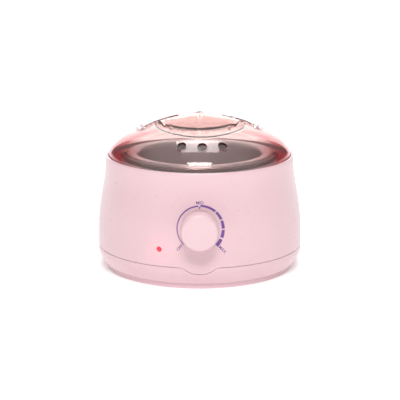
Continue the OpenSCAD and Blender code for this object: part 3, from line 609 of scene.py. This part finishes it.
# %% Finishes
ABS_IOR = 1.53
PLASTIC = {"IOR": ABS_IOR}
METAL = {"Metallic": 1.0}
finishes = {
    "shell_pink": finish_of("moulded_abs_pale_pink", "e6c5cb", "e3c1c7", 3.0, 0.0015,
                            0.30, 0.03, **PLASTIC),
    "knob_pink": finish_of("moulded_abs_knob_pink", "e8c9cd", "e5c5ca", 2.5, 0.0015,
                           0.34, 0.03, **PLASTIC),
    "bowl_aluminium": finish_of("drawn_aluminium", "c9c8c6", "b5b4b3", 0.9, 0.02,
                                0.42, 0.08, **METAL),
    "bail_steel": finish_of("bright_steel_wire", "a9a6a4", "8f8c8a", 0.6, 0.004,
                            0.26, 0.06, **METAL),
    "steel": finish_of("zinc_plated_steel", "c3c2bd", "a8a69f", 0.8, 0.008,
                       0.36, 0.08, **METAL),
    "brass": finish_of("turned_brass", "cda85b", "b58f45", 0.7, 0.006,
                       0.32, 0.08, **METAL),
    "ceramic": finish_of("steatite_ceramic", "efe9dc", "e2dbcb", 0.5, 0.02, 0.55, 0.06),
    "mica": finish_of("pressed_mica", "b9a98c", "9c8c70", 2.2, 0.03, 0.42, 0.12),
    "fibre": finish_of("ceramic_fibre_felt", "e9e5db", "d6d0c2", 1.1, 0.25, 0.92, 0.05),
    "black_rubber": finish_of("moulded_rubber", "2a292b", "323133", 0.8, 0.02, 0.72, 0.06),
    "black_plastic": finish_of("black_nylon", "1d1d1f", "262628", 0.9, 0.02, 0.45, 0.08),
    "white_plastic": finish_of("white_nylon", "ece9e4", "dfdbd5", 0.9, 0.015, 0.42, 0.08),
    "terminal_plastic": finish_of("terminal_polyamide", "e4e0d6", "d3cec2", 0.9, 0.015,
                                  0.45, 0.08),
    "wire_brown": finish_of("brown_pvc_wire", "5f3a22", "6b4429", 0.7, 0.006, 0.4, 0.06),
    "wire_blue": finish_of("blue_pvc_wire", "2457a5", "2e62b0", 0.7, 0.006, 0.4, 0.06),
    "wire_white": finish_of("white_pvc_wire", "e6e3de", "d8d5cf", 0.7, 0.006, 0.4, 0.06),
    "wire_black": finish_of("black_pvc_wire", "202022", "2a2a2c", 0.7, 0.006, 0.4, 0.06),
    "print_ink": finish_of("violet_print_ink", "6b4590", "775099", 0.5, 0.004, 0.45, 0.05),
}


def shader_of(material):
    """The main shader node of a finish."""
    return next(n for n in material.node_tree.nodes if n.type == "BSDF_PRINCIPLED")


def clear_finish(name, colour, rough, ior, grain, bump, tint, density):
    """A clear tinted solid: its surface scatters little, and a tint fills it, so
    light that goes a longer way through comes out deeper."""
    material = finish_of(name, colour, colour, grain, bump, rough, rough * 0.3,
                         **{"IOR": ior, "Transmission Weight": 1.0})
    fill = add(material, "ShaderNodeVolumeAbsorption",
               {"Color": linear(tint), "Density": density})
    output = next(n for n in material.node_tree.nodes if n.type == "OUTPUT_MATERIAL")
    material.node_tree.links.new(fill.outputs["Volume"], output.inputs["Volume"])
    return material


finishes["lid_clear"] = clear_finish("clear_polystyrene_rose", "fff0ed", 0.03, 1.5,
                                     6.0, 0.002, "f0707a", 14.0)

# %% [markdown]
# Light that gets into a tinted wall runs down inside it and comes out at the
# rim, so the rim of a rose lid looks deep red. That deep red is painted light,
# mixed into the lid's colour: it follows the height above the rim, and is
# strongest where the wall turns away.

# %% Deepen the lid's rim
def deepen_rim(material, rim, low, high):
    """Mixes a painted rim glow colour in, from all of it at height low to none at high."""
    shader = shader_of(material)
    place = add(material, "ShaderNodeTexCoord").outputs["Object"]
    height = add(material, "ShaderNodeSeparateXYZ", {"Vector": place}).outputs["Z"]
    share = add(material, "ShaderNodeMapRange",
                {"Value": height, "From Min": high, "From Max": low},
                interpolation_type="SMOOTHSTEP").outputs["Result"]
    facing = add(material, "ShaderNodeLayerWeight", {"Blend": 0.5}).outputs["Facing"]
    turned_away = add(material, "ShaderNodeMapRange",
                      {"Value": facing, "From Min": 0.2, "From Max": 0.48,
                       "To Min": 0.08, "To Max": 1.0}).outputs["Result"]
    amount = add(material, "ShaderNodeMath", {0: share, 1: turned_away},
                 operation="MULTIPLY").outputs["Value"]
    plain_colour = shader.inputs["Base Color"].links[0].from_socket
    mixed = add(material, "ShaderNodeMix", {0: amount, 6: plain_colour, 7: linear(rim)},
                data_type="RGBA")
    material.node_tree.links.new(mixed.outputs[2], shader.inputs["Base Color"])


shader_of(finishes["lid_clear"]).inputs["Transmission Weight"].default_value = 0.94
# Painted light: the deep red rim stands for light piped through the tinted wall.
deepen_rim(finishes["lid_clear"], "a80c18", lid_box[LOW].z + 9 * MM, lid_box[LOW].z + 25 * MM)
finishes["lamp_glass"] = clear_finish("lamp_glass", "ffffff", 0.03, 1.45,
                                      4.0, 0.001, "fff4f0", 5.0)
finishes["lens_red"] = finish_of("red_acrylic_lens", "d2283c", "c82238", 1.2, 0.01,
                                 0.2, 0.05, **{"IOR": 1.49, "Emission Strength": 0.55,
                                               "Emission Color": linear("ff4a5c")})


def spun_finish(name, colour, shade, ring, rough):
    """Spun metal: rings about the upright axis, one every few tenths of a
    millimetre, in its roughness and its bump, and a slow cloud of tarnish."""
    material = bpy.data.materials.new(name)
    material.use_nodes = True
    material.node_tree.nodes.clear()
    place = add(material, "ShaderNodeTexCoord").outputs["Object"]
    rings = add(material, "ShaderNodeTexWave",
                {"Vector": place, "Scale": 1 / (20 * ring * MM), "Distortion": 0.6,
                 "Detail": 2.0, "Detail Scale": 1.5},
                wave_type="RINGS", rings_direction="Z")
    cloud = add(material, "ShaderNodeTexNoise",
                {"Vector": place, "Scale": 1 / (22 * MM), "Detail": 4.0})
    colours = add(material, "ShaderNodeMix", {0: cloud.outputs["Fac"], 6: linear(colour),
                                              7: linear(shade)}, data_type="RGBA")
    uneven = add(material, "ShaderNodeMapRange",
                 {"Value": rings.outputs["Fac"], "To Min": rough - 0.06, "To Max": rough + 0.06})
    raised = add(material, "ShaderNodeBump",
                 {"Height": rings.outputs["Fac"], "Distance": 0.02 * MM, "Strength": 0.6})
    shader = add(material, "ShaderNodeBsdfPrincipled",
                 {"Base Color": colours.outputs[2], "Metallic": 0.78,
                  "Roughness": uneven.outputs["Result"], "Normal": raised.outputs["Normal"]})
    add(material, "ShaderNodeOutputMaterial", {"Surface": shader.outputs["BSDF"]})
    return material


finishes["pot_aluminium"] = spun_finish("spun_aluminium", "dedcde", "cbc7ca", 0.8, 0.36)

# %% [markdown]
# ## Put the finishes on
#
# The hidden works keep their CAD shapes. Each takes the finish of its own
# material slot, and so does every new piece.

# %% Assign the finishes
slot_of = {}
for part in frame["record"]["subparts"]:
    slot_of[part["node"]] = part["material_slot"]


def dress(piece, material):
    """Puts one finish on the whole of a piece."""
    if not piece.data.materials:
        piece.data.materials.append(material)
    for index in range(len(piece.data.materials)):
        piece.data.materials[index] = material


for name, piece in frame["nodes"].items():
    dress(piece, finishes[slot_of[name]])
for piece, slot in ((housing, "shell_pink"), (lid, "lid_clear"), (pot, "pot_aluminium"),
                    (bail, "bail_steel"), (knob, "knob_pink")):
    dress(piece, finishes[slot])
for mark in marks:
    dress(mark, finishes["print_ink"])

# The cut edges of the vents get a deeper red painted into their colour: painted
# light, standing for light piped through the tinted wall and out at each cut, as at the rim.
finishes["vent_edge"] = clear_finish("rose_cut_edge_painted_glow", "c04450", 0.12, 1.5, 2.0, 0.01,
                                     "f0707a", 14.0)
lid.data.materials.append(finishes["vent_edge"])
middles = np.empty(3 * len(lid.data.polygons))
lid.data.polygons.foreach_get("center", middles)
middles = middles.reshape(-1, 3)[:, :2]
cut = sum(np.hypot(*(middles - vent).T) < VENT_D / 2 + 0.02 * MM for vent in vents)
lid.data.polygons.foreach_set("material_index", (cut > 0).astype(int))

# %% [markdown]
# ## Stage and light
#
# A white floor runs back into the white surroundings. A big soft box stands in
# front and above, so the middle is bright and the sides turn a little darker. A
# lit card far behind gives the clear lid something white to show.

# %% Stage and light
SPAN = 4.0
floor_points = np.array([(-SPAN, -SPAN, 0), (SPAN, -SPAN, 0), (SPAN, SPAN, 0),
                         (-SPAN, SPAN, 0)], float)
floor = new_piece("floor", floor_points, [[0, 1, 2, 3]])
paper = finish_of("white_paper", "ffffff", "fbfbfb", 1.0, 0.0, 0.9, 0.02,
                  **{"Emission Color": (1, 1, 1, 1)})
# The paper glows a little, and more so away from the object.
place = add(paper, "ShaderNodeTexCoord").outputs["Object"]
away = add(paper, "ShaderNodeVectorMath", {0: place}, operation="LENGTH").outputs["Value"]
glowing = add(paper, "ShaderNodeMapRange", {"Value": away, "From Min": 0.25, "From Max": 0.9,
                                            "To Min": 0.24, "To Max": 0.75})
paper.node_tree.links.new(glowing.outputs["Result"],
                          shader_of(paper).inputs["Emission Strength"])
dress(floor, paper)

card_points = np.array([(-1.2, 2.0, 0), (1.2, 2.0, 0), (1.2, 2.0, 2.0), (-1.2, 2.0, 2.0)])
card = new_piece("backdrop", card_points, [[0, 1, 2, 3]])
lit_card = finish_of("lit_white_card", "ffffff", "fbfbfb", 1.0, 0.0, 0.9, 0.02,
                     **{"Emission Color": (1, 1, 1, 1), "Emission Strength": 0.8})
dress(card, lit_card)

world = bpy.data.worlds.new("studio")
bpy.context.scene.world = world
world.use_nodes = True
world.node_tree.nodes["Background"].inputs["Color"].default_value = (1, 1, 1, 1)
world.node_tree.nodes["Background"].inputs["Strength"].default_value = 0.33


def soft_box(name, place, target, width, height, power):
    """A rectangular light that faces a target point."""
    data = bpy.data.lights.new(name, "AREA")
    data.shape = "RECTANGLE"
    data.size, data.size_y = width, height
    data.energy = power
    light = bpy.data.objects.new(name, data)
    light.location = place
    light.rotation_euler = (Vector(target) - Vector(place)).to_track_quat("-Z", "Y").to_euler()
    bpy.context.collection.objects.link(light)
    return light


soft_box("front_box", (0, -1.35, 1.75), (0, 0, 0.06), 0.9, 0.5, 27)
soft_box("top_box", (0, 0.4, 1.8), (0, 0, 0.06), 0.8, 0.8, 9)

# The lit lens throws a little red on the plastic round it.
lens_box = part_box("indicator_lens")
lens_mid = (lens_box[LOW] + lens_box[HIGH]) / 2
glow_data = bpy.data.lights.new("lens_glow", "POINT")
glow_data.color = linear("ff3048")[:3]
glow_data.energy = 0.0013
glow_data.shadow_soft_size = 1.5 * MM
glow = bpy.data.objects.new("lens_glow", glow_data)
lens_out = Vector((lens_mid.x, lens_mid.y, 0)).normalized()
glow.location = lens_out * (side_r(lens_mid.z) + 4.5 * MM) + Vector((0, 0, lens_mid.z))
bpy.context.collection.objects.link(glow)

bpy.context.scene.view_settings.view_transform = "Standard"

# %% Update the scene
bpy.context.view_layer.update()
